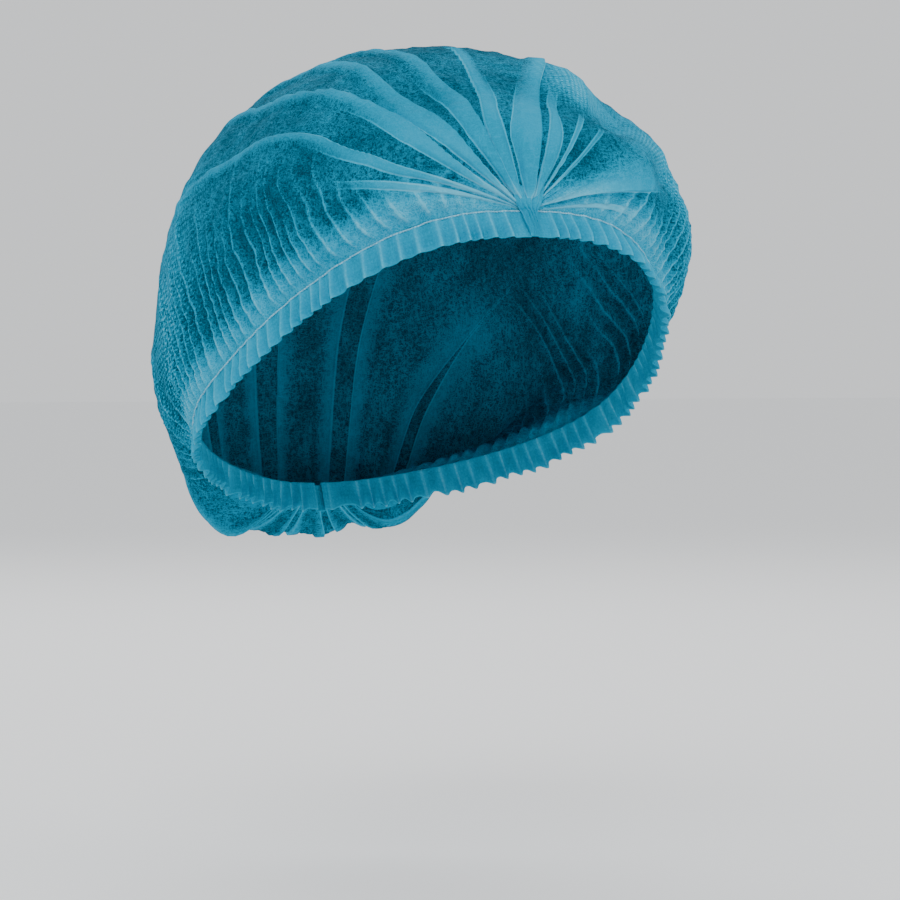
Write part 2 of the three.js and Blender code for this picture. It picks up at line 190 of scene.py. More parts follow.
def crownWays(turn, round, step=0.5):
    # out from the cloth, and across the pleats
    later, earlier = np.minimum(halfTurn, turn + step), np.maximum(0, turn - step)
    along = plainCrown(later, round) - plainCrown(earlier, round)
    across = stepAcross(turn, round)[0]
    return unit(np.cross(across, along)), unit(across)


# Arc length along the elastic, from the front weld to the rear one

elasticTurns = np.linspace(0, halfTurn, 1441)
elasticPoints = elasticLine(elasticTurns, 1.0)
elasticSteps = np.linalg.norm(np.diff(elasticPoints, axis=0), axis=1)
elasticArc = np.concatenate([[0.0], np.cumsum(elasticSteps)])
elasticLength = elasticArc[-1]


def arcAt(turn):
    return np.interp(turn, elasticTurns, elasticArc)


def turnAt(arc):
    return np.interp(arc, elasticArc, elasticTurns)


# Pleats and gathers

gathers = {
    "spacing": 6.1,  # along the elastic
    "unevenness": 3.0,
    "atElastic": 0.3,  # height of a rib where the elastic draws it in
    "crown": 1.3,  # and above it
    # turn, and how far up the crown a rib runs there, give or take half of it
    "reach": [(0, 13), (28, 22), (48, 36), (66, 68), (84, 84), (116, 78), (146, 44), (180, 20)],
    "trail": 0.5,  # how far a rib swings to the rear on its way up
    "wander": 2.2,  # and to either side
}

# Each fold runs from the front weld over the crown. Its rows are turn, degrees round and width in
# degrees, its height is in millimetres, and fades gives the turns over which it flattens out.
frontFolds = [
    {"rows": [(0, 88, 10), (10, 88.5, 10), (20, 89, 10.5), (30, 91.5, 7.5), (40, 94, 6), (50, 97, 4.6),
              (60, 100.5, 4), (75, 104, 3)], "height": 2.4, "lies": 1, "fades": (60, 78)},
    {"rows": [(0, 103, 7), (10, 101.5, 8), (20, 100.2, 6), (30, 99.5, 3.2), (40, 100, 2.4), (50, 102, 2)],
     "height": 1.7, "lies": -1, "fades": (40, 52)},
    {"rows": [(0, 76, 7), (10, 78, 7), (20, 79.3, 6.4), (30, 82, 4.4), (40, 85, 3.8), (50, 87, 3.4),
              (60, 89.5, 3), (70, 91, 2.4)], "height": 1.9, "lies": -1, "fades": (64, 80)},
    {"rows": [(0, 69, 5), (10, 71.5, 6), (20, 73, 6), (30, 75.5, 5.4), (40, 77.5, 5), (50, 77.5, 4.6),
              (60, 78, 4.4), (90, 77, 3.6), (130, 74, 3)], "height": 1.8, "lies": 1, "fades": (95, 140)},
    {"rows": [(0, 60, 4), (10, 61, 6), (30, 65.5, 7), (45, 67.5, 6), (60, 68, 4.4), (90, 70.5, 3.2),
              (104, 70, 3), (130, 66, 3)], "height": 1.9, "lies": 1, "fades": (100, 150)},
    {"rows": [(0, 50, 4), (10, 51, 6), (30, 57.5, 7), (45, 62, 5.4), (59, 61, 4.4), (72, 59.5, 3.4),
              (90, 60.5, 3), (110, 61, 2.6), (130, 57, 2.6)], "height": 1.8, "lies": 1, "fades": (104, 150)},
    {"rows": [(0, 39, 4), (10, 37.5, 5), (23, 37, 6), (33, 42.5, 5), (47, 47.5, 4), (62, 48.5, 3.2),
              (80, 48.5, 2.6), (98, 48, 2.4), (120, 45, 2.4)], "height": 1.6, "lies": 1, "fades": (88, 130)},
    {"rows": [(0, 29, 4), (10, 28, 5), (22, 27, 5.5), (34, 30, 4), (46, 34, 3)],
     "height": 1.3, "lies": 1, "fades": (24, 46)},
    {"rows": [(0, 132, 16), (8, 134, 20), (16, 137.5, 25), (24, 139, 26), (32, 139, 23), (44, 138, 18)],
     "height": 2.3, "lies": 1, "fades": (24, 46), "soft": (-2, -1)},
    {"rows": [(0, 109, 2), (10, 108, 2), (24, 107, 1.8), (40, 108, 1.6)],
     "height": 0.8, "lies": 1, "fades": (28, 44)},
    {"rows": [(0, 115, 2.4), (10, 115, 2.6), (22, 114, 2), (34, 114, 1.8)],
     "height": 0.9, "lies": -1, "fades": (22, 38)},
    {"rows": [(0, 163, 4), (10, 163, 4.5), (24, 165, 4)],
     "height": 1.0, "lies": 1, "fades": (14, 30)},
]

foldShape = {
    "wander": 0.5,  # degrees by which an edge strays from its line
    "overhang": 0.35,  # share of its height by which the free edge hangs over the cloth beside it
    "soft": (34, 60),  # turns over which a fold loses its clear edge, where its own row gives none
}

# Between the pleats the cloth is slack: heights of its hollows in millimetres
slackCloth = {
    "hollows": 0.8, "creases": 0.55, "grain": 0.22,
    "bag": 1.5, "bagFrom": (92, 118),  # the loose bag at the back has broader ones
}

# At the rear the same pleats gather again, evenly
rearFolds = {"count": 13, "first": 15.0, "last": 165.0, "width": 7.0, "height": 1.9, "rise": (118, 160)}


def rearFoldRows():
    place = np.linspace(rearFolds["first"], rearFolds["last"], rearFolds["count"])
    sway = 3.0 * np.sin(np.arange(len(place)) * 2.3)
    return [{"place": p, "sway": s, "lies": 1 if k % 2 else -1} for k, (p, s) in enumerate(zip(place, sway))]


def foldProfile(across, lies):
    # a pressed pleat: a soft rise on one side, a flat back and a sharp edge on the side it lies to
    s = across * lies
    return smooth(s, -1.0, -0.35) * (1 - smooth(s, 0.82, 1.02)) * (0.82 + 0.18 * s)


def layFold(channel, gap, across, strength, soft):
    # keeps, for the nearest fold, the gap to its edge, how deep its cloth lies and how clear its edge is;
    # the last sets the strength of the painted highlight along the fold
    nearer = (gap < channel["gap"]) & (strength > 0.02)
    depth = strength * (1 - soft * (1 - smooth(across, -1.0, 0.9)))
    line = strength * (1 - soft * (1 - smooth(across, -0.2, 0.4)))
    for key, values in (("gap", gap), ("depth", depth), ("line", line)):
        channel[key] = np.where(nearer, values, channel[key])


def crownCloth(turn, degrees):
    # offsets out from the plain crown and across it, the way to the hem, and what the look needs
    round = degrees / halfTurn
    back = turn / halfTurn
    side = np.where(round < 0.5, -1.0, 1.0)
    plain = plainCrown(turn, round)
    fromHem = np.linalg.norm(plain - elasticLine(turn, side), axis=-1)
    beside, besideDegrees = stepAcross(turn, round)
    perDegree = np.linalg.norm(beside, axis=-1) / besideDegrees
    held = smooth(fromHem, 0.5, 9.0)
    nearWeld = smooth(turn, 1, 6) * (1 - smooth(turn, 171, 177))

    relief = np.zeros_like(turn)
    slide = np.zeros_like(turn)
    for place, around, reachBack, reachRound, height in crownForm["puffs"]:
        relief += height * np.exp(-((back - place) / reachBack)**2 - ((round - around) / reachRound)**2)

    folded = np.zeros_like(turn)
    channels = [{"gap": np.full_like(turn, 9.0), "depth": np.zeros_like(turn), "line": np.zeros_like(turn)}
                for _ in range(2)]
    for k, fold in enumerate(frontFolds):
        reached = np.minimum(turn, fold["rows"][-1][0])
        centre = lineThrough([(t, c) for t, c, w in fold["rows"]], reached)
        width = lineThrough([(t, w) for t, c, w in fold["rows"]], reached)
        strength = smooth(turn, -4, 3) * (1 - smooth(turn, *fold["fades"]))
        wander = foldShape["wander"] * softNoise(turn / 16, turn * 0 + k * 3.1, 40 + k)
        away = degrees - centre - wander
        across = away / (width / 2)
        body = foldProfile(across, fold["lies"]) * strength * (0.35 + 0.65 * nearWeld)
        relief += fold["height"] * body * (0.3 + 0.7 * held)
        freeEdge = np.exp(-((across * fold["lies"] - 0.8) / 0.35)**2) * strength * nearWeld
        slide += fold["lies"] * freeEdge * foldShape["overhang"] * fold["height"] * held
        soft = smooth(turn, *fold.get("soft", foldShape["soft"]))
        gap = (np.abs(away) - width / 2) * perDegree
        layFold(channels[k % 2], gap, across * fold["lies"], strength, soft)
        folded = np.maximum(folded, strength * (1 - smooth(np.abs(across), 0.9, 1.0)))
    rearStrength = smooth(turn, *rearFolds["rise"])
    for k, fold in enumerate(rearFoldRows()):
        away = degrees - fold["place"] - fold["sway"] * (1 - smooth(turn, 140, 172))
        across = away / (rearFolds["width"] / 2)
        body = foldProfile(across, fold["lies"]) * rearStrength * held * nearWeld
        relief += rearFolds["height"] * body
        gap = (np.abs(away) - rearFolds["width"] / 2) * perDegree
        layFold(channels[k % 2], gap, across * fold["lies"], rearStrength * 0.8, 1.0)
        folded = np.maximum(folded, rearStrength * (1 - smooth(np.abs(across), 0.9, 1.0)))

    # ribs gathered by the elastic, which swing to the rear as they rise
    arc = arcAt(turn)
    trail = gathers["trail"] * fromHem * smooth(back, 0.02, 0.2) * (1 - smooth(back, 0.72, 0.9))
    trail += gathers["wander"] * softNoise(turn / 11, degrees / 14 + side, 77) * smooth(fromHem, 8, 30)
    phase = gatherPhase(arc - trail, side)
    length = np.interp(turn, *zip(*gathers["reach"])) * (1 + 0.5 * softNoise(phase * 0.9, side * 5, 71))
    strength = smooth(fromHem, 0.0, 7.0) * (1 - smooth(fromHem, length * 0.3, length))
    strength *= smooth(np.minimum(arc - trail, elasticLength - arc), 10, 34) * (1 - 0.75 * folded)
    rib = gatherRib(phase)
    relief += rib * (gathers["atElastic"] * (1 - held) + gathers["crown"] * strength)

    creases = (1 - np.abs(softNoise(turn / 15 + degrees / 30, degrees / 4.2, 9))) * (1 - folded)
    bag = smooth(turn, *slackCloth["bagFrom"]) * softNoise(arc / 34 + 3, degrees / 24, 6)
    slack = slackCloth["hollows"] * softNoise(arc / 26, degrees / 17, 5) + slackCloth["bag"] * bag
    slack += slackCloth["creases"] * creases
    slack += slackCloth["grain"] * softNoise(turn / 3.2, degrees / 2.4, 12)
    relief += held * nearWeld * slack
    # the rib height also gives painted light on the crests and painted shade in the troughs
    look = {"gather": phase, "gathered": strength, "crest": rib * strength}
    for letter, channel in zip("AB", channels):
        look.update({key + letter: values for key, values in channel.items()})
    return relief, slide, fromHem, look


def gatherPhase(arc, side):
    # counts the ribs from the front weld, unevenly spaced, and other ones on the two sides
    drift = gathers["unevenness"] * softNoise(arc / 19, np.asarray(side) * 7.0 + 0 * arc, 31)
    drift = drift + 0.9 * softNoise(arc / 8, np.asarray(side) * 5.0 + 0 * arc, 32)
    return (arc + drift) / gathers["spacing"]


def gatherRib(phase):
    # narrow crests between wide shallow troughs
    return (0.5 + 0.5 * np.cos(2 * math.pi * phase))**1.7 * 1.7 - 0.6


# Making cloth from a grid

def clothGrid(name, cellsAlong, cellsAround, place):
    # a grid's vertices are moved to where place(alongShare, aroundShare) puts them, in millimetres
    bm = bmesh.new()
    bmesh.ops.create_grid(bm, x_segments=cellsAlong, y_segments=cellsAround, size=1.0)
    flat = np.array([v.co[:2] for v in bm.verts])
    points, attributes, uv = place(flat[:, 0] * 0.5 + 0.5, flat[:, 1] * 0.5 + 0.5)
    for v, p in zip(bm.verts, points * mm):
        v.co = p
    for f in bm.faces:
        f.smooth = True
    mesh = bpy.data.meshes.new(name)
    bm.to_mesh(mesh)
    bm.free()
    corner = np.empty(len(mesh.loops), dtype=np.int32)
    mesh.loops.foreach_get("vertex_index", corner)
    layer = mesh.uv_layers.new(name="cloth")
    layer.data.foreach_set("uv", (uv[corner] * mm).astype(np.float32).ravel())
    for key, values in attributes.items():
        data = mesh.attributes.new(key, "FLOAT", "POINT").data
        data.foreach_set("value", np.asarray(values, dtype=np.float32))
    piece = bpy.data.objects.new(name, mesh)
    bpy.context.scene.collection.objects.link(piece)
    return piece


def turnOutward(piece, probe, outerShare=1.0):
    # faces must point away from the probe: a double cloth is judged by its outer layer, its last faces
    bm = bmesh.new()
    bm.from_mesh(piece.data)
    outer = list(bm.faces)[-int(len(bm.faces) * outerShare):]
    facing = sum(f.normal.dot((f.calc_center_median() - probe).normalized()) for f in outer)
    if facing < 0:
        bmesh.ops.reverse_faces(bm, faces=bm.faces)
        bm.to_mesh(piece.data)
    bm.free()


openingMiddle = Vector((0.0, 0.005, 0.01))  # a point that every piece lies round

# Crown

crownMesh = {
    "alongCells": 340,
    "aroundCells": 290,
    "firstTurn": 0.3,  # degrees left open at each weld, where the fan covers them
    "atStrand": 0.35,  # the cloth passes this far under the elastic
    # degrees round, and how closely the columns lie there
    "density": [(0, 1.1), (12, 1.0), (30, 0.75), (60, 0.8), (70, 1.3), (110, 1.4), (150, 1.1), (168, 0.9),
                (180, 1.1)],
    "ease": (1.25, 1.9),  # cloth length along and across, for each millimetre of arc and each degree
}

# How pale the single cloth is at each place: over the hems, with painted light where it stands out in the
# light and painted shade where a patch is below 0.
# Each patch has turn, degrees round, reach of each, and how much paler (or, below 0, darker) it is.
crownToneAndPaintedLight = {
    "base": 0.02,
    "atHem": 0.37,
    "hemReach": (5.0, 19.0),
    "clouds": 0.05,
    "patches": [
        (22, 24, 11, 12, 0.16),
        (22, 140, 12, 14, 0.12),
        (57, 110, 12, 9, 0.36),
        (52, 131, 14, 10, 0.22),
        (70, 140, 26, 14, 0.16),
        (40, 172, 20, 9, 0.1),
        (112, 44, 12, 16, 0.12),
        (90, 26, 16, 12, -0.05),
        (60, 34, 14, 12, -0.05),
    ],
    # where the bond points show light between the fibres
    "thin": [(55, 108, 12, 7), (56, 131, 14, 9), (70, 146, 22, 16), (118, 30, 24, 24)],
}


def paintCrownLightAndTone(turn, degrees, fromHem):
    # painted light and shade of the patches, on top of the paler cloth over the hems and random clouds
    light = crownToneAndPaintedLight["base"] + crownToneAndPaintedLight["atHem"] * (1 - smooth(fromHem, *crownToneAndPaintedLight["hemReach"]))
    for t, d, reachTurn, reachDegrees, amount in crownToneAndPaintedLight["patches"]:
        light += amount * np.exp(-((turn - t) / reachTurn)**2 - ((degrees - d) / reachDegrees)**2)
    light += crownToneAndPaintedLight["clouds"] * softNoise(turn / 14, degrees / 12, 21)
    thin = np.zeros_like(turn)
    for t, d, reachTurn, reachDegrees in crownToneAndPaintedLight["thin"]:
        thin = np.maximum(thin, np.exp(-((turn - t) / reachTurn)**2 - ((degrees - d) / reachDegrees)**2))
    return {"light": light, "thin": thin}


def crownPlace(alongShare, aroundShare):
    first = arcAt(crownMesh["firstTurn"])
    turn = turnAt(first + (elasticLength - 2 * first) * alongShare)
    fine = np.linspace(0, halfTurn, 721)
    density = np.interp(fine, *zip(*crownMesh["density"]))
    filled = np.concatenate([[0.0], np.cumsum((density[1:] + density[:-1]) / 2)])
    degrees = np.interp(aroundShare, filled / filled[-1], fine)
    round = degrees / halfTurn
    side = np.where(round < 0.5, -1.0, 1.0)
    relief, slide, fromHem, look = crownCloth(turn, degrees)
    plain = plainCrown(turn, round)
    out, across = crownWays(turn, round)
    edge = 1 - smooth(fromHem, 0, crownForm["edgeReach"])
    hemOut = hemWays(turn, side)[1]
    out = unit(out + (hemOut - out) * edge[:, None])
    points = plain + out * (relief - crownMesh["atStrand"] * edge)[:, None] + across * slide[:, None]
    look.update(paintCrownLightAndTone(turn, degrees, fromHem))
    uv = np.stack([arcAt(turn), degrees - halfTurn / 2], -1) * crownMesh["ease"]
    return points, look, uv


crown = clothGrid("crown_cloth", crownMesh["alongCells"], crownMesh["aroundCells"], crownPlace)
turnOutward(crown, openingMiddle)
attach(crown, "root")
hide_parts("crown")
print("crown cloth made,", len(crown.data.polygons), "faces")

# Hems: the cloth is folded double below the elastic, and its ruffles widen toward the lower edge

hemMesh = {
    "depth": 11.0,
    "layerGap": 0.9,  # between the two layers at the fold
    "ruffle": 1.25,  # how far a rib stands out at the lower edge
    "scallop": 0.9,  # how far the lower edge goes up and down
    "flutter": 0.7,
    "ease": 1.5,  # cloth length for each millimetre along the elastic
    "alongCells": 900,
    "downCells": 26,
    "firstTurn": 0.3,
}


def hemPlace(side):
    def place(alongShare, aroundShare):
        first = arcAt(hemMesh["firstTurn"])
        arc = first + (elasticLength - 2 * first) * alongShare
        turn = turnAt(arc)
        over = 2 * aroundShare - 1  # -1 on the inner layer at the elastic, 0 at the fold, 1 outside
        down = 1 - np.abs(over)
        face = np.sign(over)
        phase = gatherPhase(arc, side)
        rib = gatherRib(phase)
        nearWeld = smooth(np.minimum(arc, elasticLength - arc), 1, 10)
        flutter = softNoise(arc / 7.5, down * 0.7 + side * 3, 55)
        depth = hemMesh["depth"] + hemMesh["scallop"] * (0.75 * rib + 0.6 * flutter) * nearWeld
        wave = (gathers["atElastic"] + hemMesh["ruffle"] * smooth(down, 0, 0.9)) * rib * nearWeld
        wave += hemMesh["flutter"] * down * flutter * nearWeld
        bow = np.sqrt(np.maximum(0, 1 - (1 - 2 * np.clip(1 - down, 0, 0.5))**2))
        apart = face * hemMesh["layerGap"] / 2 * bow
        ways = hemWays(turn, side + 0 * turn)
        points = elasticLine(turn, side) + ways[0] * (depth * down)[:, None]
        points = points + ways[1] * (wave + apart - crownMesh["atStrand"])[:, None]
        uv = np.stack([arc * hemMesh["ease"], down * hemMesh["depth"] * face], -1)
        # the rib height also gives painted light on the crests and painted shade in the troughs
        return points, {"gather": phase, "down": down, "crest": rib * nearWeld}, uv
    return place


hems = []
for name, side in (("hem_right_cloth", -1.0), ("hem_left_cloth", 1.0)):
    hem = clothGrid(name, hemMesh["alongCells"], hemMesh["downCells"] * 2, hemPlace(side))
    turnOutward(hem, openingMiddle, 0.5)
    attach(hem, "root")
    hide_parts("hem_right" if side < 0 else "hem_left")
    hems.append(hem)
print("hems made")

# Elastic: two fine plies twisted round each other, sewn along the fold

elastic = {
    "plyRadius": 0.2,
    "twistRadius": 0.15,
    "twist": 2.2,  # length of one whole twist
    "stand": 0.3,  # out from the cloth
    "waver": 0.25,
    "steps": 1300,
    "firstTurn": 0.9,
}


def elasticPlies(side):
    first = arcAt(elastic["firstTurn"])
    arc = np.linspace(first, elasticLength - first, elastic["steps"])
    turn = turnAt(arc)
    down, out = hemWays(turn, side + 0 * turn)
    rib = gatherRib(gatherPhase(arc, side))
    stand = elastic["stand"] + 0.35 * gathers["atElastic"] * rib
    middle = elasticLine(turn, side) + out * stand[:, None]
    middle += down * (elastic["waver"] * softNoise(arc / 5, 0 * arc + side, 61))[:, None]
    for ply in range(2):
        angle = 2 * math.pi * arc / elastic["twist"] + ply * math.pi
        around = down * np.cos(angle)[:, None] + out * np.sin(angle)[:, None]
        yield middle + around * elastic["twistRadius"]


strands = []
for name, side in (("elastic_right_strand", -1.0), ("elastic_left_strand", 1.0)):
    curve = bpy.data.curves.new(name, "CURVE")
    curve.dimensions = "3D"
    curve.bevel_depth = elastic["plyRadius"] * mm
    curve.bevel_resolution = 1
    curve.use_fill_caps = True
    for points in elasticPlies(side):
        spline = curve.splines.new("POLY")
        spline.points.add(len(points) - 1)
        spline.points.foreach_set("co", np.column_stack([points * mm, np.ones(len(points))]).ravel())
        spline.use_smooth = True
    rope = bpy.data.objects.new(name + "_curve", curve)
    bpy.context.scene.collection.objects.link(rope)
    strand = bpy.data.objects.new(name, bpy.data.meshes.new_from_object(rope))
    bpy.data.objects.remove(rope)
    bpy.context.scene.collection.objects.link(strand)
    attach(strand, "root")
    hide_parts("elastic_right" if side < 0 else "elastic_left")
    strands.append(strand)
print("elastic made")

# Welds: the ends of the pleats pinched into a small fan, its tip at the hem's lower edge

weldForm = {
    "height": 9.0,  # above the elastic
    "below": 11.3,  # it covers where the two hems meet
    "tipWidth": 4.2,
    "topWidth": 13.0,
    "waist": 0.22,  # share by which the elastic pinches it in
    "pleats": 5,
    "seat": 0.6,  # clear of the crown's cloth
    "thick": {0: 2.9, 180: 1.45},  # at the front and at the rear
    "alongCells": 44,
    "acrossCells": 160,
}


def weldLine(weldTurn):
    # the fan's middle line, by its distance along from the elastic, and its outward way
    toward = 1 if weldTurn == 0 else -1
    down = hemWays(np.array([float(weldTurn)]), np.array([1.0]))[0][0]
    turns = weldTurn + toward * np.linspace(0, 14, 281)
    top = plainCrown(turns, np.full_like(turns, 0.5))
    arc = np.concatenate([[0.0], np.cumsum(np.linalg.norm(np.diff(top, axis=0), axis=1))])
    crownUp = unit(top[60] - top[0])

    def place(rise):
        above = np.stack([np.interp(np.maximum(rise, 0), arc, top[:, axis]) for axis in range(3)], -1)
        turned = smooth(rise, -4.0, 4.0)[:, None]
        ahead = unit(-down * (1 - turned) + crownUp * turned)
        return above + down * np.maximum(-rise, 0)[:, None], ahead
    return place, toward


def weldPlace(weldTurn):
    line, toward = weldLine(weldTurn)

    def place(share, aroundShare):
        rise = -weldForm["below"] + (weldForm["below"] + weldForm["height"]) * share
        point, ahead = line(rise)
        out = np.stack([0 * rise, -ahead[:, 2], ahead[:, 1]], -1) * toward
        facing = aroundShare < 0.5  # the outer face first, then the one against the crown
        across = np.where(facing, 4 * aroundShare - 1, 3 - 4 * aroundShare)
        waist = 1 - weldForm["waist"] * np.exp(-((rise + 1.0) / 3.0)**2)
        widening = weldForm["topWidth"] - weldForm["tipWidth"]
        half = (weldForm["tipWidth"] + smooth(share, 0, 1.1) * widening) / 2
        phase = (across * 0.5 + 0.5) * weldForm["pleats"] + 0.25 * np.sin(3 * share + across * 2)
        saw = phase - np.floor(phase)
        ridge = smooth(saw, 0, 0.7) * (1 - smooth(saw, 0.86, 1.0))
        crowned = np.sqrt(np.maximum(0, 1 - np.abs(across)**3.0))
        taper = (0.3 + 0.7 * smooth(share, 0, 0.12)) * (1 - 0.9 * smooth(share, 0.5, 1.0))
        seat = weldForm["seat"] * (1 - 0.8 * smooth(share, 0.5, 1))
        height = seat + facing * weldForm["thick"][weldTurn] * crowned * taper * (0.6 + 0.4 * ridge)
        bend = 0.5 * np.sin(share * 7 + across * 3)
        points = point + out * height[:, None]
        points[:, 0] += across * half * waist + bend * 0.2
        uv = np.stack([rise, across * half * 2.0], -1)
        return points, {"gather": phase, "down": share}, uv
    return place


welds = []
for name, weldTurn in (("front_weld_fan", 0), ("rear_weld_fan", 180)):
    fan = clothGrid(name, weldForm["alongCells"], weldForm["acrossCells"], weldPlace(weldTurn))
    bm = bmesh.new()
    bm.from_mesh(fan.data)
    bmesh.ops.remove_doubles(bm, verts=bm.verts, dist=0.002 * mm)
    bmesh.ops.holes_fill(bm, edges=bm.edges, sides=0)
    bmesh.ops.recalc_face_normals(bm, faces=bm.faces)
    bm.to_mesh(fan.data)
    bm.free()
    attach(fan, "root")
    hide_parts("front_weld" if weldTurn == 0 else "rear_weld")
    welds.append(fan)
print("welds made")


# Materials

def addNode(tree, kind, **settings):
    node = tree.nodes.new(kind)
    inputs = settings.pop("inputs", {})
    for key, value in settings.items():
        setattr(node, key, value)
    for key, value in inputs.items():
        node.inputs[key].default_value = value
    return node


def mathNode(tree, operation, *values, clamp=False):
    node = addNode(tree, "ShaderNodeMath", operation=operation, use_clamp=clamp)
    for k, value in enumerate(values):
        if isinstance(value, (int, float)):
            node.inputs[k].default_value = value
        else:
            tree.links.new(value, node.inputs[k])
    return node.outputs[0]


def ease(tree, value, low, high, fromValue=0.0, toValue=1.0):
    node = addNode(tree, "ShaderNodeMapRange", interpolation_type="SMOOTHSTEP")
    tree.links.new(value, node.inputs["Value"])
    for key, number in (("From Min", low), ("From Max", high), ("To Min", fromValue), ("To Max", toValue)):
        node.inputs[key].default_value = number
    return node.outputs[0]


def addSockets(group, way, *names):
    for name in names:
        group.interface.new_socket(name, in_out=way, socket_type="NodeSocketFloat")


def spunClothGroup():
    # matted fibres and bond points of a spun-bonded cloth
    group = bpy.data.node_groups.new("spunCloth", "ShaderNodeTree")
    addSockets(group, "INPUT", "Fibres Per Metre", "Bonds Per Metre")
    addSockets(group, "OUTPUT", "Fibres", "Clouds", "Bonds", "Height")
    start = addNode(group, "NodeGroupInput")
    end = addNode(group, "NodeGroupOutput")
    place = addNode(group, "ShaderNodeTexCoord").outputs["Object"]
    uv = addNode(group, "ShaderNodeUVMap", uv_map="cloth").outputs["UV"]

    def fibreNoise(stretch, turned, share, distortion):
        bent = addNode(group, "ShaderNodeMapping", inputs={"Scale": stretch, "Rotation": turned})
        group.links.new(place, bent.inputs["Vector"])
        noise = addNode(group, "ShaderNodeTexNoise", noise_dimensions="3D",
                        inputs={"Detail": 2.0, "Roughness": 0.6, "Distortion": distortion})
        group.links.new(bent.outputs[0], noise.inputs["Vector"])
        group.links.new(mathNode(group, "MULTIPLY", start.outputs["Fibres Per Metre"], share),
                        noise.inputs["Scale"])
        # thin lines where the noise crosses its middle value
        off = mathNode(group, "ABSOLUTE", mathNode(group, "SUBTRACT", noise.outputs["Fac"], 0.5))
        return ease(group, off, 0.0, 0.055, 1.0, 0.0)

    first = fibreNoise((0.22, 1.0, 1.0), (0.3, 0.5, 0.2), 1.0, 0.5)
    second = fibreNoise((1.0, 0.22, 0.8), (0.9, -0.4, 0.7), 1.25, 0.6)
    third = fibreNoise((0.9, 1.0, 0.2), (-0.5, 0.2, 1.1), 0.7, 0.8)
    fibres = mathNode(group, "MAXIMUM", mathNode(group, "MAXIMUM", first, second),
                      mathNode(group, "MULTIPLY", third, 0.8))
    clouds = addNode(group, "ShaderNodeTexNoise", inputs={"Detail": 3.0, "Roughness": 0.6})
    group.links.new(place, clouds.inputs["Vector"])
    cloudScale = mathNode(group, "MULTIPLY", start.outputs["Fibres Per Metre"], 0.1)
    group.links.new(cloudScale, clouds.inputs["Scale"])
    bonds = addNode(group, "ShaderNodeTexVoronoi", voronoi_dimensions="2D", inputs={"Randomness": 0.16})
    group.links.new(uv, bonds.inputs["Vector"])
    group.links.new(start.outputs["Bonds Per Metre"], bonds.inputs["Scale"])
    dots = ease(group, bonds.outputs["Distance"], 0.2, 0.34, 1.0, 0.0)
    height = mathNode(group, "SUBTRACT", fibres, mathNode(group, "MULTIPLY", dots, 0.8))
    for name, value in (("Fibres", fibres), ("Clouds", clouds.outputs["Fac"]), ("Bonds", dots),
                        ("Height", height)):
        group.links.new(value, end.inputs[name])
    return group


def foldHighlightAndDoubleGroup():
    # the painted highlight, a pale thread-thin line along a pressed fold, and the double cloth inside it
    group = bpy.data.node_groups.new("foldHighlightAndDouble", "ShaderNodeTree")
    addSockets(group, "INPUT", "Distance")
    addSockets(group, "OUTPUT", "Double", "Line")
    start = addNode(group, "NodeGroupInput")
    end = addNode(group, "NodeGroupOutput")
    distance = start.outputs["Distance"]
    group.links.new(ease(group, distance, -0.25, 0.15, 1.0, 0.0), end.inputs["Double"])
    off = mathNode(group, "ABSOLUTE", mathNode(group, "ADD", distance, 0.25))
    group.links.new(ease(group, off, 0.1, 0.5, 1.0, 0.0), end.inputs["Line"])
    return group


spunCloth = spunClothGroup()
foldHighlightAndDouble = foldHighlightAndDoubleGroup()

clothColours = {
    # share of light cloth, then the colour; the dark low end is painted shade of the hollow seen through the
    # single cloth
    "ramp": [(0.0, (0.0, 0.03, 0.056)), (0.3, (0.0, 0.075, 0.125)), (0.62, (0.0, 0.29, 0.47)),
             (0.85, (0.02, 0.38, 0.57)), (1.0, (0.1, 0.48, 0.66))],
    "fibresPerMetre": 760.0,
    "bondsPerMetre": 520.0,
    "specular": 0.02,
    "bumpStrength": 0.5,
}


def clothRamp(tree, share):
    ramp = addNode(tree, "ShaderNodeValToRGB")
    stops = ramp.color_ramp.elements
    for k, (place, colour) in enumerate(clothColours["ramp"]):
        stop = stops[k] if k < 2 else stops.new(place)
        stop.position = place
        stop.color = (*colour, 1)
    tree.links.new(share, ramp.inputs[0])
    return ramp.outputs[0]


def startMaterial(name):
    material = bpy.data.materials.new(name)
    material.use_nodes = True
    tree = material.node_tree
    shader = tree.nodes["Principled BSDF"]
    return material, tree, shader


def attribute(tree, name):
    return addNode(tree, "ShaderNodeAttribute", attribute_name=name).outputs["Fac"]


def clothNode(tree):
    node = addNode(tree, "ShaderNodeGroup", node_tree=spunCloth)
    node.inputs["Fibres Per Metre"].default_value = clothColours["fibresPerMetre"]
    node.inputs["Bonds Per Metre"].default_value = clothColours["bondsPerMetre"]
    return node.outputs


def ribCrestHighlight(tree, phase, width):
    # painted highlights, thin pale lines on the crests of the ribs
    shifted = mathNode(tree, "ADD", phase, 0.5)
    off = mathNode(tree, "ABSOLUTE", mathNode(tree, "SUBTRACT", mathNode(tree, "FRACT", shifted), 0.5))
    return ease(tree, off, width * 0.3, width, 1.0, 0.0)


def total(tree, *terms):
    # sum of value and factor pairs
    result = None
    for value, factor in terms:
        part = mathNode(tree, "MULTIPLY", value, factor)
        result = part if result is None else mathNode(tree, "ADD", result, part)
    return result


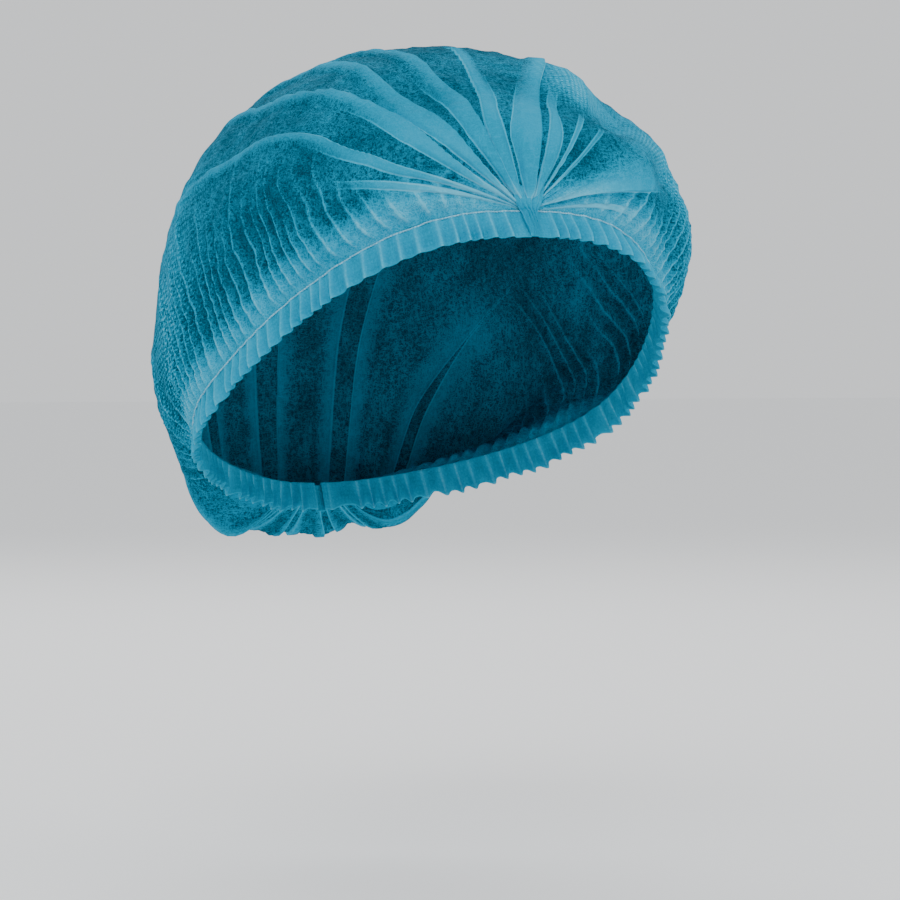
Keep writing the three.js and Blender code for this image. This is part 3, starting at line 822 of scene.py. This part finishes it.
def finishCloth(tree, shader, cloth, share, roughness, relief, bumpDepth=0.00025):
    # colour by the share of light cloth, a matt surface, and the bump of fibres and lines
    tree.links.new(clothRamp(tree, share), shader.inputs["Base Color"])
    tree.links.new(ease(tree, cloth["Fibres"], 0, 1, *roughness), shader.inputs["Roughness"])
    shader.inputs["Specular IOR Level"].default_value = clothColours["specular"]
    bump = addNode(tree, "ShaderNodeBump",
                   inputs={"Strength": clothColours["bumpStrength"], "Distance": bumpDepth})
    tree.links.new(total(tree, (cloth["Height"], 0.8), *relief), bump.inputs["Height"])
    tree.links.new(bump.outputs[0], shader.inputs["Normal"])


def crownMaterial():
    material, tree, shader = startMaterial("pleatedCrownCloth")
    cloth = clothNode(tree)
    lines, doubles = [], []
    for letter in "AB":
        node = addNode(tree, "ShaderNodeGroup", node_tree=foldHighlightAndDouble)
        tree.links.new(attribute(tree, "gap" + letter), node.inputs["Distance"])
        lines.append(mathNode(tree, "MULTIPLY", node.outputs["Line"], attribute(tree, "line" + letter)))
        doubles.append(mathNode(tree, "MULTIPLY", node.outputs["Double"], attribute(tree, "depth" + letter)))
    double = mathNode(tree, "MAXIMUM", *doubles)
    both = mathNode(tree, "MULTIPLY", *doubles)
    # line is the painted highlight along the fold edges
    line = mathNode(tree, "MAXIMUM", *lines)
    light = attribute(tree, "light")
    gathered = attribute(tree, "gathered")
    # rib holds the painted highlights on the rib crests
    rib = mathNode(tree, "MULTIPLY", ribCrestHighlight(tree, attribute(tree, "gather"), 0.1), gathered)
    single = mathNode(tree, "SUBTRACT", 1.0, double)
    # single cloth shows its fibres and the painted shade of the dark hollow seen through it, and double
    # cloth is paler and calmer
    busy = mathNode(tree, "MULTIPLY", total(tree, (cloth["Fibres"], 0.3), (cloth["Clouds"], 0.36)), single)
    calm = mathNode(tree, "MULTIPLY", total(tree, (cloth["Fibres"], 0.07), (cloth["Clouds"], 0.12)), double)
    bonds = mathNode(tree, "MULTIPLY", cloth["Bonds"], attribute(tree, "thin"))
    # the share adds the paler double cloth, painted light and shade of the patches, painted highlights on
    # fold edges and rib crests, painted light and shade on crests and troughs, and pale bond points
    share = total(tree, (double, 0.5), (both, 0.06), (light, 1.0), (line, 0.27), (rib, 0.24),
                  (attribute(tree, "crest"), 0.07), (bonds, 0.4))
    share = mathNode(tree, "ADD", share, mathNode(tree, "ADD", busy, calm), clamp=True)
    finishCloth(tree, shader, cloth, share, (0.86, 0.7), [(line, 1.4), (rib, 1.2)])
    return material


def hemMaterial():
    material, tree, shader = startMaterial("ruffledHemCloth")
    cloth = clothNode(tree)
    down = attribute(tree, "down")
    rib = ribCrestHighlight(tree, attribute(tree, "gather"), 0.11)
    # edge is a painted highlight along the fold at the hem's lower edge
    edge = ease(tree, down, 0.93, 0.985)
    # painted highlights on the rib crests and along the lower fold, and painted light and shade on the rib
    # crests and troughs
    share = mathNode(tree, "ADD", 0.5, total(
        tree, (cloth["Fibres"], 0.08), (cloth["Clouds"], 0.2), (rib, 0.13), (edge, 0.1),
        (cloth["Bonds"], 0.05), (attribute(tree, "crest"), 0.09)), clamp=True)
    finishCloth(tree, shader, cloth, share, (0.88, 0.74), [(rib, 1.2)])
    return material


def weldMaterial():
    material, tree, shader = startMaterial("pinchedPleatCloth")
    cloth = clothNode(tree)
    # rib holds the painted highlights on the crests of the fan's pleats
    rib = ribCrestHighlight(tree, attribute(tree, "gather"), 0.1)
    share = mathNode(tree, "ADD", 0.5, total(
        tree, (cloth["Fibres"], 0.08), (cloth["Clouds"], 0.16), (rib, 0.2),
        (attribute(tree, "down"), 0.04)), clamp=True)
    finishCloth(tree, shader, cloth, share, (0.85, 0.7), [(rib, 1.2)], bumpDepth=0.0003)
    return material


strandCover = {
    "wrap": 1400.0,  # noise scale of the covering yarn
    "colours": [(0.35, (0.1, 0.42, 0.58)), (0.65, (0.28, 0.62, 0.76))],
    "specular": 0.1,
}


def elasticMaterial():
    material, tree, shader = startMaterial("coveredElastic")
    place = addNode(tree, "ShaderNodeTexCoord").outputs["Object"]
    wrap = addNode(tree, "ShaderNodeTexNoise", inputs={"Scale": strandCover["wrap"], "Detail": 2.0})
    tree.links.new(place, wrap.inputs["Vector"])
    ramp = addNode(tree, "ShaderNodeValToRGB")
    for stop, (position, colour) in zip(ramp.color_ramp.elements, strandCover["colours"]):
        stop.position = position
        stop.color = (*colour, 1)
    tree.links.new(wrap.outputs["Fac"], ramp.inputs[0])
    tree.links.new(ramp.outputs[0], shader.inputs["Base Color"])
    tree.links.new(ease(tree, wrap.outputs["Fac"], 0.3, 0.7, 0.5, 0.7), shader.inputs["Roughness"])
    shader.inputs["Specular IOR Level"].default_value = strandCover["specular"]
    bump = addNode(tree, "ShaderNodeBump", inputs={"Strength": 0.4, "Distance": 0.0001})
    tree.links.new(wrap.outputs["Fac"], bump.inputs["Height"])
    tree.links.new(bump.outputs[0], shader.inputs["Normal"])
    return material


for pieces, material in (([crown], crownMaterial()), (hems, hemMaterial()), (welds, weldMaterial()),
                         (strands, elasticMaterial())):
    for piece in pieces:
        piece.data.materials.append(material)
print("materials made")

# Floor, light and camera

studio = {
    "floorSize": 14.0,
    "floorHeight": -0.19,
    "lights": [
        # name, place, size, power in watts
        ("key", (-1.1, -1.5, 1.5), 1.3, 26.0),
        ("fill", (1.5, -1.3, 0.5), 1.6, 10.0),
        ("rim", (0.4, 1.5, 1.4), 1.2, 14.0),
    ],
    "floorColour": (0.94, 0.945, 0.95, 1.0),
    "floorRoughness": 0.9,
    "aim": (0, 0, 0.02),
    "air": (0.93, 0.95, 0.97, 1.0),
    "airStrength": 0.95,
}
bm = bmesh.new()
bmesh.ops.create_grid(bm, x_segments=2, y_segments=2, size=studio["floorSize"])
bmesh.ops.translate(bm, verts=bm.verts, vec=(0, 0, studio["floorHeight"]))
floorMesh = bpy.data.meshes.new("floor")
bm.to_mesh(floorMesh)
bm.free()
floor = bpy.data.objects.new("floor", floorMesh)
bpy.context.scene.collection.objects.link(floor)
floorPaint, _, floorShader = startMaterial("paleFloor")
floorShader.inputs["Base Color"].default_value = studio["floorColour"]
floorShader.inputs["Roughness"].default_value = studio["floorRoughness"]
floorMesh.materials.append(floorPaint)

for name, place, size, power in studio["lights"]:
    lamp = bpy.data.lights.new(name, "AREA")
    lamp.size = size
    lamp.energy = power
    holder = bpy.data.objects.new(name, lamp)
    holder.location = place
    holder.rotation_euler = (Vector(studio["aim"]) - Vector(place)).to_track_quat("-Z", "Y").to_euler()
    bpy.context.scene.collection.objects.link(holder)
world = bpy.data.worlds.new("studioAir")
world.use_nodes = True
air = world.node_tree.nodes["Background"].inputs
air["Color"].default_value = studio["air"]
air["Strength"].default_value = studio["airStrength"]
bpy.context.scene.world = world

view = {"yaw": 25.5, "distance": 1.5, "lens": 162.6, "aimRight": 0.0124, "aimDown": 0.0351}
yaw = math.radians(view["yaw"])
cameraData = bpy.data.cameras.new("camera")
cameraData.lens = view["lens"]
cameraData.sensor_width = 36.0
camera = bpy.data.objects.new("camera", cameraData)
camera.location = Vector((-math.sin(yaw), -math.cos(yaw), 0)) * view["distance"]
aim = Vector((math.cos(yaw), -math.sin(yaw), 0)) * view["aimRight"] - Vector((0, 0, view["aimDown"]))
camera.rotation_euler = (aim - camera.location).to_track_quat("-Z", "Y").to_euler()
bpy.context.scene.collection.objects.link(camera)
bpy.context.scene.camera = camera
print("studio and camera set")

bpy.context.view_layer.update()
